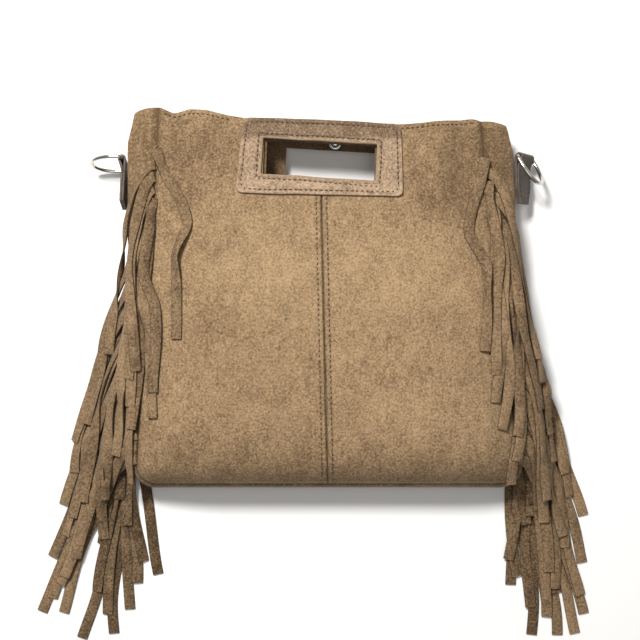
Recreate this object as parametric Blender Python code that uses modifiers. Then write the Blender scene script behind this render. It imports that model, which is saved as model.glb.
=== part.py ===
"""Fringed suede bag, lying on its back: +X across, +Y towards the mouth, +Z out of the front panel.

The bag is two crowned panels with a boxing of two gussets and a base between them. A cut-out near
the mouth of each panel, framed by a stitched patch, is the handle. A band of suede cut into strips
runs down every side seam, and a leather tab on each gusset holds a D-ring.
The origin is the middle of the back panel's flat rest face. Lengths are in metres.
"""

import math

import bmesh
import bpy
import numpy as np
from mathutils import Matrix, Vector

# Body
HEIGHT = 0.264  # base edge to mouth, along the middle
BASE_Y = -0.090  # the base edge, so that the origin is the middle of the rest face
HALF_TOP = 0.118
HALF_BOTTOM = 0.140
CORNER_R = 0.014
LEAN = -0.022  # sideways drift of the soft body per metre of height
MOUTH_SLOPE = 0.033  # the mouth line falls towards +X
SUEDE = 0.0015
GAP = 0.0003

# Depth of the lying bag, above the surface that it rests on
MOUTH_Z = 0.036
ZONE_FROM = 0.190  # above this height both panels are flat, held by their patches
FRONT_FALL = -0.0933  # slope of the flat zone of the front panel
CREST_Z = 0.054
CREST_AT = 0.045
BASE_SEAM_Z = 0.027
FLAT_SHARE = 0.62  # share of the half width that is flat before the panel falls to its seam
BACK_LIFT_FROM = 0.172
BACK_LIFT = 0.107
BACK_EDGE_LIFT = 0.004
FRONT_SEAM_DROP = 0.0011  # the boxing starts this far under the front panel's edge

# Handle cut-out, its patch and what lies behind them
HANDLE_AT = (-0.0032, 0.2358)  # across, height
BACK_SHIFT = (0.0140, -0.0020)  # the back panel has slid against the front one
PATCH_SIZE = (0.117, 0.0505)
PATCH_TILT = math.radians(-2.5)
OPENING_SIZE = (0.083, 0.0265)
OPENING_TILT = math.radians(-3.3)
PATCH_CORNER_R = 0.006
WASHER_SPACE = 0.0013
FACING = 0.0012
FACING_FROM = 0.1850
LINING = 0.0008
LINING_TOP = 0.1845

# Magnetic snap, at the lower edge of the top bars
SNAP_R = 0.0048
SNAP_PLATE = 0.0010
SNAP_AT = (0.0030, 0.0182)  # from the middle of the cut-out
DOME_R = 0.0033
DOME_HEIGHT = 0.0022
SOCKET_R = 0.0036
SOCKET_FLOOR = 0.0014
SOCKET_TOP = 0.0028
RIM_R = 0.0044
WASHER = 0.0007
WASHER_R = 0.0045

# Fringe
FRINGE_TOP = 0.243
STRIPS = 26
STRIP_PITCH = 0.0088
STRIP_WIDTH = 0.0082
STRIP_LENGTH = 0.145
STRIP = 0.0011
HANG = math.radians(24)  # the strips' direction, off the seam and away from the body
ROLL = math.radians(50)  # each strip leans on the next one down
TURN_LENGTH = 0.018  # a strip turns from straight out to the hang direction over this length
ROLL_LENGTH = 0.011  # and rolls over this one, ahead of the turn
FRONT_STRIP_STEPS = (0, 0.003, 0.006, 0.009, 0.013, 0.018, 0.045, 0.085, STRIP_LENGTH)
FRONT_ROOT_Z = 0.0013  # the strips' middles, over the seam
FRONT_RISE = 0.0056
FRONT_RISE_LENGTH = 0.010
FRONT_SPAN = 0.048  # beyond this length a front strip falls to the surface
FRONT_STRIP_REST = 0.0112  # height of the strips' middles where they have come to rest on the back fringe
BACK_STRIP_STEPS = (0, 0.003, 0.006, 0.010, 0.018, 0.075, STRIP_LENGTH)
BACK_ROOT_Z = -0.0008
BACK_ROOT_OUT = 0.0010
BACK_SETTLE = 0.030
BACK_STRIP_REST = 0.0036  # and on the surface
BAND_EDGE = 0.0005  # the uncut edge of the band, behind the strips' roots

# Strap tabs and D-rings
WIRE_R = 0.0015
RING_INSIDE = 0.0206
RING_DEPTH = 0.0232  # bar to the middle of the bow's wire
RING_SHOULDER = 0.0060  # where the straight sides turn into the bow
RING_CORNER_R = 0.0022
TAB_WIDTH = 0.0190
TAB_LENGTH = 0.034
TAB_LAYER = 0.0015
LOOP_INNER_R = WIRE_R + GAP
LOOP_OUTER_R = LOOP_INNER_R + TAB_LAYER


def clear_scene():
    for obj in list(bpy.data.objects):
        bpy.data.objects.remove(obj, do_unlink=True)


def collection(name):
    found = bpy.data.collections.new(name)
    bpy.context.scene.collection.children.link(found)
    return found


def material(name, colour, roughness, metallic=0.0):
    made = bpy.data.materials.new(name)
    made.use_nodes = True
    shader = made.node_tree.nodes["Principled BSDF"]
    shader.inputs["Base Color"].default_value = (*colour, 1.0)
    shader.inputs["Roughness"].default_value = roughness
    shader.inputs["Metallic"].default_value = metallic
    return made


SUEDE_COLOUR = (0.40, 0.29, 0.18)
INSIDE_COLOUR = (0.30, 0.21, 0.13)
FRINGE_COLOUR = (0.30, 0.21, 0.13)
TAB_COLOUR = (0.11, 0.085, 0.070)
COTTON_COLOUR = (0.33, 0.29, 0.24)
NICKEL_COLOUR = (0.66, 0.65, 0.62)


def add_object(name, mesh, colour, roughness=0.95, metallic=0.0):
    """A part of the bag: one object, one material of its own."""
    obj = bpy.data.objects.new(name, mesh)
    PARTS.objects.link(obj)
    mesh.materials.append(material(name + "_finish", colour, roughness, metallic))
    return obj


def smooth(obj):
    obj.data.shade_smooth()
    obj.data.set_sharp_from_angle(angle=math.radians(40))


# ---------------------------------------------------------------- the body's surfaces


def half_width(height):
    """Half the panel's width: a straight taper, less the rounding of the bottom corners."""
    taper = HALF_BOTTOM + (HALF_TOP - HALF_BOTTOM) * height / HEIGHT
    below = np.clip(CORNER_R - height, 0, CORNER_R)
    return taper - (CORNER_R - np.sqrt(CORNER_R**2 - below**2))


def crest_z(height):
    """Height of the front panel's middle: a flat zone at the mouth, a crest, then the roll to the base."""
    zone_z = MOUTH_Z + FRONT_FALL * (ZONE_FROM - HEIGHT)
    span = ZONE_FROM - CREST_AT
    t = np.clip((height - CREST_AT) / span, 0, 1)
    rise = CREST_Z + (zone_z - CREST_Z) * (3 * t**2 - 2 * t**3) + FRONT_FALL * span * (t**3 - t**2)
    zone = MOUTH_Z + FRONT_FALL * (height - HEIGHT)
    roll = np.clip((CREST_AT - height) / CREST_AT, 0, 1)
    fall = BASE_SEAM_Z + (CREST_Z - BASE_SEAM_Z) * np.sqrt(1 - roll**2.4)
    return np.where(height > ZONE_FROM, zone, np.where(height > CREST_AT, rise, fall))


def seam_z(height):
    """Height of the front side seams."""
    side = np.interp(height, (0.045, 0.10, 0.19, HEIGHT), (0.038, 0.038, 0.036, 0.033))
    share = (crest_z(height) - BASE_SEAM_Z) / (CREST_Z - BASE_SEAM_Z)
    return np.where(height > CREST_AT, side, BASE_SEAM_Z + 0.011 * share)


def front_z(share, height):
    """The front panel's outer face, at a share of the half width."""
    out = np.clip((np.abs(share) - FLAT_SHARE) / (1 - FLAT_SHARE), 0, 1)
    return seam_z(height) + (crest_z(height) - seam_z(height)) * (1 - out**2)


def back_z(share, height):
    """The back panel's outer face: flat on the surface, lifting at its side seams and to the mouth."""
    edge = np.clip((np.abs(share) - 0.86) / 0.14, 0, 1)
    return BACK_EDGE_LIFT * edge**2 + BACK_LIFT * np.clip(height - BACK_LIFT_FROM, 0, None)


def place(share, height, z_of, inset=0.0):
    """World points of a panel's face: the taper, the lean and the slope of the mouth, then its depth."""
    side = share * (half_width(height) - inset)
    risen = height - MOUTH_SLOPE * side * (height / HEIGHT) ** 2
    x = side + LEAN * (height + BASE_Y)
    return np.stack([x, risen + BASE_Y, z_of(share, risen)], axis=-1)


def panel_heights(start, stop, steps):
    """Heights of a panel's rows, with close rows round the bottom corners and over the roll."""
    rows = np.linspace(max(start, 0.045), stop, steps)
    if start >= 0.045:
        return rows
    corner = CORNER_R * (1 - np.cos(np.radians([0, 22.5, 45, 67.5, 90])))
    corner = corner[corner >= start]
    return np.concatenate([corner, [0.021, 0.031], rows])


def grid_mesh(name, points, flip=False):
    """An open sheet through a grid of points."""
    rows, columns = points.shape[:2]
    index = np.arange(rows * columns).reshape(rows, columns)
    quads = np.stack([index[:-1, :-1], index[:-1, 1:], index[1:, 1:], index[1:, :-1]], axis=-1)
    quads = quads.reshape(-1, 4)
    mesh = bpy.data.meshes.new(name)
    mesh.from_pydata(points.reshape(-1, 3).tolist(), [], (quads[:, ::-1] if flip else quads).tolist())
    mesh.update()
    return mesh


def thicken(obj, thickness, offset=-1.0):
    solidify = obj.modifiers.new("thickness", "SOLIDIFY")
    solidify.thickness = thickness
    solidify.offset = offset
    solidify.use_even_offset = True


def sheet(name, points, thickness, colour, flip=False):
    """A sheet of hide or cloth: its outer face, thickened inwards."""
    obj = add_object(name, grid_mesh(name, points, flip), colour)
    thicken(obj, thickness)
    smooth(obj)
    return obj


# ---------------------------------------------------------------- handle cut-outs


def handle_frame(back):
    """The frame of a handle: its middle on the panel's outer face, local Z away from the bag's inside."""
    across, height = HANDLE_AT
    if back:
        across, height = across + BACK_SHIFT[0], height + BACK_SHIFT[1]
        slope, z = BACK_LIFT, float(back_z(0.0, height))
    else:
        slope, z = FRONT_FALL, float(front_z(0.0, height))
    turn = Matrix.Rotation(math.atan(slope), 4, "X")
    if back:
        turn = turn @ Matrix.Rotation(math.pi, 4, "Y")
    return Matrix.Translation((across, height + BASE_Y, z)) @ turn


def in_plane_tilt(angle, back):
    return Matrix.Rotation(-angle if back else angle, 4, "Z")


def cutter_box(name, matrix, size):
    bpy.ops.mesh.primitive_cube_add(size=1)
    cutter = bpy.context.active_object
    cutter.name = name
    for holder in list(cutter.users_collection):
        holder.objects.unlink(cutter)
    CUTTERS.objects.link(cutter)
    cutter.data.transform(Matrix.Diagonal((*size, 1)))
    cutter.matrix_world = matrix
    cutter.hide_render = True
    cutter.display_type = "WIRE"
    return cutter


def cut(obj, cutter):
    boolean = obj.modifiers.new("cut", "BOOLEAN")
    boolean.operation = "DIFFERENCE"
    boolean.object = cutter
    boolean.solver = "EXACT"


def closed_spline(curve, points):
    spline = curve.splines.new("POLY")
    spline.points.add(len(points) - 1)
    for point, (x, y) in zip(spline.points, points):
        point.co = (x, y, 0, 1)
    spline.use_cyclic_u = True


def rounded_rectangle(size, radius, steps):
    """The points of an outline with round corners."""
    half_w, half_h = size[0] / 2 - radius, size[1] / 2 - radius
    points = []
    for corner, (sx, sy) in enumerate(((1, 1), (-1, 1), (-1, -1), (1, -1))):
        for step in range(steps + 1):
            angle = math.pi / 2 * (corner + step / steps)
            points.append((sx * half_w + radius * math.cos(angle), sy * half_h + radius * math.sin(angle)))
    return points


def plate_curve(name, thickness):
    """A flat outline's curve, filled and extruded to a plate."""
    curve = bpy.data.curves.new(name, "CURVE")
    curve.dimensions = "2D"
    curve.fill_mode = "BOTH"
    curve.extrude = thickness / 2
    return curve


def mesh_of_curve(name, curve):
    """The curve's solid as a mesh with its caps welded on."""
    holder = bpy.data.objects.new(name + "_curve", curve)
    PARTS.objects.link(holder)
    bpy.context.view_layer.update()
    evaluated = holder.evaluated_get(bpy.context.evaluated_depsgraph_get())
    mesh = bpy.data.meshes.new_from_object(evaluated)
    mesh.name = name
    bpy.data.objects.remove(holder, do_unlink=True)
    work = bmesh.new()
    work.from_mesh(mesh)
    bmesh.ops.remove_doubles(work, verts=work.verts, dist=1e-6)
    bmesh.ops.recalc_face_normals(work, faces=work.faces)
    work.to_mesh(mesh)
    work.free()
    mesh.materials.clear()
    return mesh


def handle_patch(name, back, opening):
    """The stitched frame round a cut-out: a flat plate on the panel's outer face."""
    curve = plate_curve(name, SUEDE)
    closed_spline(curve, rounded_rectangle(PATCH_SIZE, PATCH_CORNER_R, steps=4))
    obj = add_object(name, mesh_of_curve(name, curve), SUEDE_COLOUR)
    lift = Matrix.Translation((0, 0, GAP + SUEDE / 2))
    obj.matrix_world = handle_frame(back) @ in_plane_tilt(PATCH_TILT, back) @ lift
    cut(obj, opening)
    return obj


# ---------------------------------------------------------------- panels, facings and lining


def front_panels(opening):
    """Two halves that meet at the centre seam."""
    heights = panel_heights(0.0, HEIGHT, 10)
    shares = np.array([0.0, 0.2, 0.42, FLAT_SHARE, 0.74, 0.84, 0.93, 1.0])
    for name, sign in (("front_panel_left", -1), ("front_panel_right", 1)):
        share, height = np.meshgrid(sign * shares, heights)
        points = place(share, height, front_z, inset=GAP / 2)
        points[:, 0, 0] += sign * GAP / 2
        obj = sheet(name, points, SUEDE, SUEDE_COLOUR, flip=sign < 0)
        cut(obj, opening)


def back_panel(opening):
    shares = np.array([-1.0, -0.95, -0.9, -0.86, -0.5, 0.0, 0.5, 0.86, 0.9, 0.95, 1.0])
    heights = np.concatenate([panel_heights(0.0, BACK_LIFT_FROM, 4), [0.190, 0.228, HEIGHT]])
    share, height = np.meshgrid(shares, heights)
    points = place(share, height, back_z, inset=GAP / 2)
    cut(sheet("back_panel", points, SUEDE, SUEDE_COLOUR, flip=True), opening)


def facing(name, back, opening):
    """The suede band inside the mouth, behind the handle."""
    depth = SUEDE + WASHER_SPACE
    share, height = np.meshgrid(np.linspace(-1, 1, 13), np.linspace(FACING_FROM, HEIGHT - 0.001, 5))

    def z_of(share, risen):
        return back_z(share, risen) + depth if back else front_z(share, risen) - depth

    points = place(share, height, z_of, inset=0.007)
    cut(sheet(name, points, FACING, INSIDE_COLOUR, flip=back), opening)


def lining(name, back):
    """Half of the cloth sack: it follows the panel and turns in at the sides and the bottom."""
    shares = np.array([-1, -0.92, -0.84, -0.75, -0.4, 0, 0.4, 0.75, 0.84, 0.92, 1])
    share, height = np.meshgrid(shares, np.concatenate([[0.007, 0.012, 0.021], np.linspace(0.035, LINING_TOP, 6)]))

    def z_of(share, risen):
        side = np.clip((np.abs(share) - 0.75) / 0.25, 0, 1) ** 2
        foot = np.clip((0.040 - risen) / 0.034, 0, 1) ** 2
        top = front_z(share, risen) - SUEDE - 2 * GAP
        low = back_z(share, risen) + SUEDE + 2 * GAP
        turned = 0.42 * (top - low) * np.maximum(side, foot)
        return low + turned if back else top - turned

    points = place(share, height, z_of, inset=0.006)
    sheet(name, points, LINING, COTTON_COLOUR, flip=back)


# ---------------------------------------------------------------- gussets and base


def boxing_path():
    """Share and height along the panels' edge, from the mouth at -X round the base to the mouth at +X."""
    down = np.concatenate([np.linspace(HEIGHT, 0.045, 9), [0.031, 0.021]])
    corner = CORNER_R * (1 - np.cos(np.radians([90, 67.5, 45, 22.5, 0])))
    side = np.concatenate([down, corner])
    across = np.linspace(-1, 1, 13)[1:-1]
    share = np.concatenate([-np.ones(len(side)), across, np.ones(len(side))])
    height = np.concatenate([side, np.zeros(len(across)), side[::-1]])
    return share, height


def bulge(share, height):
    """How far the boxing stands out between its two seams: most at the mouth, where it folds outwards."""
    side = np.interp(height, (0.0, 0.10, 0.19, 0.245, HEIGHT), (0.004, 0.009, 0.020, 0.0225, 0.019))
    return np.where(np.abs(share) < 1, 0.004, side)


def boxing_points():
    """A strip from the front seam to the back seam, bowed outwards as a parabola across its width."""
    share, height = boxing_path()
    front = place(share, height, front_z)
    back = place(share, height, back_z)
    along = np.gradient(front[:, :2], axis=0)
    along /= np.linalg.norm(along, axis=1, keepdims=True)
    outward = np.stack([along[:, 1], -along[:, 0]], axis=-1)
    out = np.concatenate([outward, np.zeros((len(share), 1))], axis=-1)
    front += out * GAP / 2
    front[:, 2] -= FRONT_SEAM_DROP
    back += out * GAP / 2
    back[:, 2] += SUEDE + GAP
    rows = []
    for across in np.linspace(0, 1, 9):
        bow = bulge(share, height) * 4 * across * (1 - across)
        rows.append(front * (1 - across) + back * across + out * bow[:, None])
    return np.stack(rows, axis=1)


def boxing():
    """The boxing in three pieces, sewn end to end above the bottom corners."""
    points = boxing_points()
    joint = 10
    spans = {
        "gusset_left": (0, joint),
        "base_panel": (joint, len(points) - 1 - joint),
        "gusset_right": (len(points) - 1 - joint, len(points) - 1),
    }
    for name, (first, last) in spans.items():
        piece = points[first : last + 1].copy()
        if first > 0:
            piece[0] += (piece[1] - piece[0]) * 0.02
        if last < len(points) - 1:
            piece[-1] += (piece[-2] - piece[-1]) * 0.02
        sheet(name, piece, SUEDE, SUEDE_COLOUR)


# ---------------------------------------------------------------- magnetic snap


def turned(name, profile, matrix, colour, roughness, metallic):
    """A turned piece: a profile at +X, from the top of its outer side down, spun about Z."""
    mesh = bpy.data.meshes.new(name)
    mesh.from_pydata([(r, 0, z) for r, z in profile], [(i, i + 1) for i in range(len(profile) - 1)], [])
    obj = add_object(name, mesh, colour, roughness, metallic)
    screw = obj.modifiers.new("spin", "SCREW")
    screw.steps = 20
    screw.render_steps = 20
    screw.use_merge_vertices = True
    screw.merge_threshold = 1e-6
    screw.use_smooth_shade = False
    obj.matrix_world = matrix
    return obj


def snap(back):
    """One side of the snap: a plate on the facing's inner face and a washer hidden behind the facing."""
    frame = handle_frame(back) @ Matrix.Translation((-SNAP_AT[0] if back else SNAP_AT[0], SNAP_AT[1], 0))
    inner = -(SUEDE + WASHER_SPACE + FACING + 2 * GAP)
    face = frame @ Matrix.Translation((0, 0, inner)) @ Matrix.Rotation(math.pi, 4, "X")
    plate = [(SNAP_R, SNAP_PLATE), (SNAP_R, 0), (0, 0)]
    if back:
        sweep = np.radians((0, 20, 40, 60, 80))
        dome = [(DOME_R * math.sin(a), SNAP_PLATE + DOME_HEIGHT * math.cos(a)) for a in sweep]
        turned("snap_stud", dome + plate, face, NICKEL_COLOUR, 0.25, 1.0)
    else:
        rim = [(0, SOCKET_FLOOR), (SOCKET_R, SOCKET_FLOOR), (SOCKET_R, SOCKET_TOP), (RIM_R, SOCKET_TOP)]
        turned("snap_socket", rim + plate, face, NICKEL_COLOUR, 0.25, 1.0)
    hidden = frame @ Matrix.Translation((0, 0, -(SUEDE + GAP + WASHER)))
    disc = [(0, WASHER), (WASHER_R, WASHER), (WASHER_R, 0), (0, 0)]
    turned("snap_washer_back" if back else "snap_washer_front", disc, hidden, NICKEL_COLOUR, 0.45, 1.0)


# ---------------------------------------------------------------- strap tabs and D-rings


def frame_from(origin, bar, down):
    """Local X along the ring's bar, local Y down the tab, local Z off the gusset."""
    bar = Vector(bar).normalized()
    down = (Vector(down) - Vector(down).dot(bar) * bar).normalized()
    turn = Matrix((bar, down, bar.cross(down))).transposed().to_4x4()
    return Matrix.Translation(origin) @ turn


def tab_mesh(name):
    """A strip folded over the bar: a loop, drawn to a point where its two layers meet, and the layers.

    The outline is drawn in the plane across the bar and extruded along it.
    """
    curve = plate_curve(name, TAB_WIDTH)
    inner_side = -LOOP_OUTER_R
    outer_side = inner_side + 2 * TAB_LAYER
    round_the_loop = np.radians(np.arange(240, 59, -30))
    outline = [(0.0, inner_side)]
    outline += [(LOOP_OUTER_R * math.cos(a), LOOP_OUTER_R * math.sin(a)) for a in round_the_loop]
    outline += [(0.006, outer_side + 0.0005), (0.009, outer_side), (TAB_LENGTH, outer_side)]
    outline += [(TAB_LENGTH, inner_side)]
    closed_spline(curve, outline)
    round_the_bar = np.radians(np.arange(0, 360, 30))
    closed_spline(curve, [(LOOP_INNER_R * math.cos(a), LOOP_INNER_R * math.sin(a)) for a in round_the_bar])
    mesh = mesh_of_curve(name, curve)
    mesh.transform(Matrix(((0, 0, 1, 0), (1, 0, 0, 0), (0, 1, 0, 0), (0, 0, 0, 1))))
    return mesh


def ring_mesh(name):
    """A wire bent to a D: a straight bar along X and a bow that stands off along -Y."""
    half = RING_INSIDE / 2 + WIRE_R
    points = [(0.0, 0.0), (half - RING_CORNER_R, 0.0)]
    for angle in np.radians((30, 60, 90)):
        side = half - RING_CORNER_R * (1 - math.sin(angle))
        points.append((side, RING_CORNER_R * (math.cos(angle) - 1)))
    bow_height = RING_DEPTH - RING_SHOULDER
    for angle in np.radians(np.arange(0, 91, 18)):
        points.append((half * math.cos(angle), -RING_SHOULDER - bow_height * math.sin(angle)))
    points += [(-x, y) for x, y in points[-2:0:-1]]
    curve = bpy.data.curves.new(name, "CURVE")
    curve.dimensions = "3D"
    curve.bevel_depth = WIRE_R
    curve.bevel_resolution = 2
    closed_spline(curve, points)
    return mesh_of_curve(name, curve)


def tab_and_ring(side, frame, swing):
    """A tab on its gusset and the ring in its loop, turned about the bar from hanging straight up."""
    tab = add_object("strap_tab_" + side, tab_mesh("strap_tab_" + side), TAB_COLOUR, 0.45)
    tab.matrix_world = frame
    smooth(tab)
    ring = add_object("d_ring_" + side, ring_mesh("d_ring_" + side), NICKEL_COLOUR, 0.2, 1.0)
    ring.matrix_world = frame @ Matrix.Rotation(math.radians(swing), 4, "X")
    smooth(ring)


# ---------------------------------------------------------------- fringe


def seam_points(sign, heights, back):
    z_of = back_z if back else front_z
    return place(np.full(len(heights), float(sign)), heights, z_of)


def eased(value):
    value = np.clip(value, 0, 1)
    return value * value * (3 - 2 * value)


def strip_course(steps, back):
    """One strip beside its seam: how far out, down and up, and how far it has settled.

    It leaves the seam straight out, turns down over a short arc, then runs straight at the hang angle.
    """
    fine = np.linspace(0, STRIP_LENGTH, 291)
    heading = (math.pi / 2 - HANG) * eased(fine / TURN_LENGTH)
    spacing = fine[1] - fine[0]
    out = np.interp(steps, fine, np.cumsum(np.cos(heading)) * spacing - spacing)
    down = np.interp(steps, fine, np.cumsum(np.sin(heading)) * spacing)
    if back:
        out = out + BACK_ROOT_OUT
        height = np.full(len(steps), BACK_ROOT_Z)
        settled = eased(steps / BACK_SETTLE)
    else:
        height = FRONT_ROOT_Z + FRONT_RISE * eased(steps / FRONT_RISE_LENGTH)
        settled = eased((steps - FRONT_SPAN) / (STRIP_LENGTH - FRONT_SPAN))
    return np.stack([out, -down, height], axis=-1), settled


def unit(vectors):
    return vectors / np.linalg.norm(vectors, axis=-1, keepdims=True)


def strip_width(course, steps, seam_up):
    """The direction of a strip's width: along the seam at its root, then rolled as it turns down.

    All the strips lie in one slanting surface that holds the seam's direction. Each is rolled
    out of that surface by the same angle, so that it clears the next one down all the way.
    """
    forward = unit(np.gradient(course, steps, axis=0))
    up = unit(np.cross(forward, seam_up))
    roll = (ROLL * eased(steps / ROLL_LENGTH))[:, None]
    return np.cos(roll) * np.cross(up, forward) - np.sin(roll) * up


def fringe(name, sign, back):
    """A band on the seam, cut into strips: a comb of quads, thickened."""
    steps = np.array(BACK_STRIP_STEPS if back else FRONT_STRIP_STEPS)
    course, settled = strip_course(steps, back)
    rest_z = BACK_STRIP_REST if back else FRONT_STRIP_REST
    mirror = np.array([sign, 1.0, 1.0])
    middles = FRINGE_TOP - STRIP_PITCH * (np.arange(STRIPS) + 0.5)
    seam = seam_points(sign, middles, back)
    seam_up = unit(-np.gradient(seam, axis=0))
    band_edge = np.array([-sign * BAND_EDGE, 0.0, 0.0] if back else [0.0, 0.0, -BAND_EDGE])
    points, faces = [], []
    rows = len(steps)
    for strip in range(STRIPS):
        laid = course.copy()
        laid[:, 2] += (rest_z - seam[strip, 2] - laid[:, 2]) * settled
        width = strip_width(laid, steps, seam_up[strip] * mirror)
        centre = seam[strip] + laid * mirror
        side = width * mirror * STRIP_WIDTH / 2
        band = [centre[0] + side[0] + band_edge, centre[0] - side[0] + band_edge]
        pairs = np.stack([centre + side, centre - side], axis=1).reshape(-1, 3)
        start = len(points)
        points += [*band, *pairs]
        for row in range(rows):
            first = start + 2 * row
            faces.append((first, first + 1, first + 3, first + 2))
        if strip:
            above = start - 2 * (rows + 1)
            faces.append((above + 1, start, start + 2, above + 3))
    mesh = bpy.data.meshes.new(name)
    mesh.from_pydata([tuple(p) for p in points], [], faces)
    mesh.update()
    obj = add_object(name, mesh, FRINGE_COLOUR)
    thicken(obj, STRIP, offset=0.0)
    return obj


# ---------------------------------------------------------------- the bag

clear_scene()
PARTS = collection("fringed_suede_bag")
CUTTERS = collection("cutters")

front_opening = cutter_box(
    "front_opening_cutter",
    handle_frame(False) @ in_plane_tilt(OPENING_TILT, False),
    (*OPENING_SIZE, 0.016),
)
back_opening = cutter_box(
    "back_opening_cutter",
    handle_frame(True) @ in_plane_tilt(OPENING_TILT, True),
    (*OPENING_SIZE, 0.016),
)

front_panels(front_opening)
back_panel(back_opening)
handle_patch("front_handle_patch", False, front_opening)
handle_patch("back_handle_patch", True, back_opening)
facing("front_facing", False, front_opening)
facing("back_facing", True, back_opening)
lining("lining_front", False)
lining("lining_back", True)
boxing()
snap(False)
snap(True)

LEFT_TAB = frame_from((-0.1502, 0.146, 0.0155), bar=(0, -0.34, -0.94), down=(0, -0.94, 0.34))
RIGHT_TAB = frame_from((0.1485, 0.150, 0.019), bar=(-0.6, 0, 0.8), down=(0, -1, 0))
tab_and_ring("left", LEFT_TAB, swing=-90)
tab_and_ring("right", RIGHT_TAB, swing=-149)

for end, at_back in (("front", False), ("back", True)):
    for hand, direction in (("left", -1), ("right", 1)):
        fringe(f"fringe_{end}_{hand}", direction, at_back)
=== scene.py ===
"""The fringed suede bag on its back, dressed over its CAD frame: napped hide that has slumped, stitched
seams, a limp tangle of cut strips down both sides, dark strap tabs and bright wire rings.

Across is +X, the mouth is at +Y, the front panel faces +Z. Lengths are in metres.
"""

import math

import bpy
import numpy as np
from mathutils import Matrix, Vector


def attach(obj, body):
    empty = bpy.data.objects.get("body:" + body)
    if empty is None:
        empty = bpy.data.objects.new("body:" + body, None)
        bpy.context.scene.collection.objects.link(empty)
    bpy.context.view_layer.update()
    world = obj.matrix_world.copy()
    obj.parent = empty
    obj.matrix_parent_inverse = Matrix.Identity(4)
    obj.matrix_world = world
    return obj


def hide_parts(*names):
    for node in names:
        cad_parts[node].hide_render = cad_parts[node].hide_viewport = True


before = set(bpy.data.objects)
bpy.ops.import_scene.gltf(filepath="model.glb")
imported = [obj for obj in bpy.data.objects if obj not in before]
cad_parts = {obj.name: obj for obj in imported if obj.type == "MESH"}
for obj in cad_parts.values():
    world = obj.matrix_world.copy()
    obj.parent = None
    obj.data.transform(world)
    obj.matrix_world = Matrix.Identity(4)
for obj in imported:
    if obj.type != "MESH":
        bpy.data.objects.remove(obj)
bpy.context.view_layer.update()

HEIGHT, BASE_Y = 0.264, -0.090
HALF_TOP, HALF_BOTTOM, CORNER_R = 0.118, 0.140, 0.014
LEAN, MOUTH_SLOPE = -0.022, 0.033
HIDE, FACING_HIDE, SEAM_GAP = 0.0015, 0.0012, 0.00015
MOUTH_Z, ZONE_FROM, FRONT_FALL = 0.036, 0.190, -0.0933
CREST_Z, CREST_AT, BASE_SEAM_Z, FLAT_SHARE = 0.054, 0.045, 0.027, 0.62
BACK_LIFT_FROM, BACK_LIFT, BACK_EDGE_LIFT = 0.172, 0.107, 0.004
FRONT_SEAM_DROP, RIM_ROLL, RIM_REACH = 0.0020, 0.0014, 0.0035
HANDLE_AT, BACK_SHIFT = np.array([-0.0032, 0.2358]), np.array([0.0140, -0.0020])
PATCH_HALF, PATCH_TILT = (0.0585, 0.02525), math.radians(-2.5)
OPENING_HALF, OPENING_TILT = (0.0415, 0.01325), math.radians(-3.3)
PATCH_THICK, FACING_DEPTH = 0.0018, 0.0028
SNAP_AT, SNAP_DEPTH = (0.0030, 0.0182), 0.0046
FRINGE_TOP, STRIPS, STRIP_PITCH = 0.243, 26, 0.0088
STRIP_LONG, STRIP_WIDE, STRIP_THICK = 0.147, 0.0079, 0.0013
HANGING_REACH = 0.006
STITCH_PITCH, MIDDLE_ROW, OUTER_ROW, INNER_ROW = 0.0037, 0.0037, 0.0032, 0.0034
TAB_LENGTH, TAB_WIDTH, TAB_LOOP, TAB_FRONT = 0.034, 0.019, 0.00255, -0.00095


# -------- meshes


def unit(vectors):
    """Each vector over its own length."""
    return vectors / np.maximum(np.linalg.norm(vectors, axis=-1, keepdims=True), 1e-12)


def stacked(*parts):
    """Values side by side along a new last axis."""
    return np.stack(parts, axis=-1)


def smoothstep(value):
    """0 below 0, 1 above 1, and 3v^2 - 2v^3 between."""
    value = np.clip(value, 0, 1)
    return value * value * (3 - 2 * value)


def hump(value, centre, reach):
    """A smooth bump, 1 at its centre and 0 beyond its reach."""
    return smoothstep(1 - np.abs(value - centre) / reach)


def waves(points, seed, length, count=5):
    """A smooth field from -1 to 1: the mean of sine waves of about that length in seeded directions."""
    rng = np.random.default_rng(seed)
    total = 0.0
    for _ in range(count):
        direction = unit(rng.normal(size=points.shape[-1]))
        turn = 2 * math.pi / (length * rng.uniform(0.7, 1.5))
        total = total + np.sin(points @ direction * turn + rng.uniform(0, 6.3))
    return total / count


def grid_quads(rows, columns, wrap_rows=False, wrap_columns=False):
    """The quads between neighbouring points of a grid, which may close on itself either way."""
    index = np.arange(rows * columns).reshape(rows, columns)
    if wrap_rows:
        index = np.concatenate([index, index[:1]], axis=0)
    if wrap_columns:
        index = np.concatenate([index, index[:, :1]], axis=1)
    quads = stacked(index[:-1, :-1], index[:-1, 1:], index[1:, 1:], index[1:, :-1])
    return quads.reshape(-1, 4)


def vertex_normals(points, quads):
    """The mean of the normals of the quads round each point, from each quad's crossed diagonals."""
    crossed = np.cross(points[quads[:, 2]] - points[quads[:, 0]], points[quads[:, 3]] - points[quads[:, 1]])
    total = np.zeros_like(points)
    for corner in range(4):
        np.add.at(total, quads[:, corner], crossed)
    return unit(total)


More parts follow.
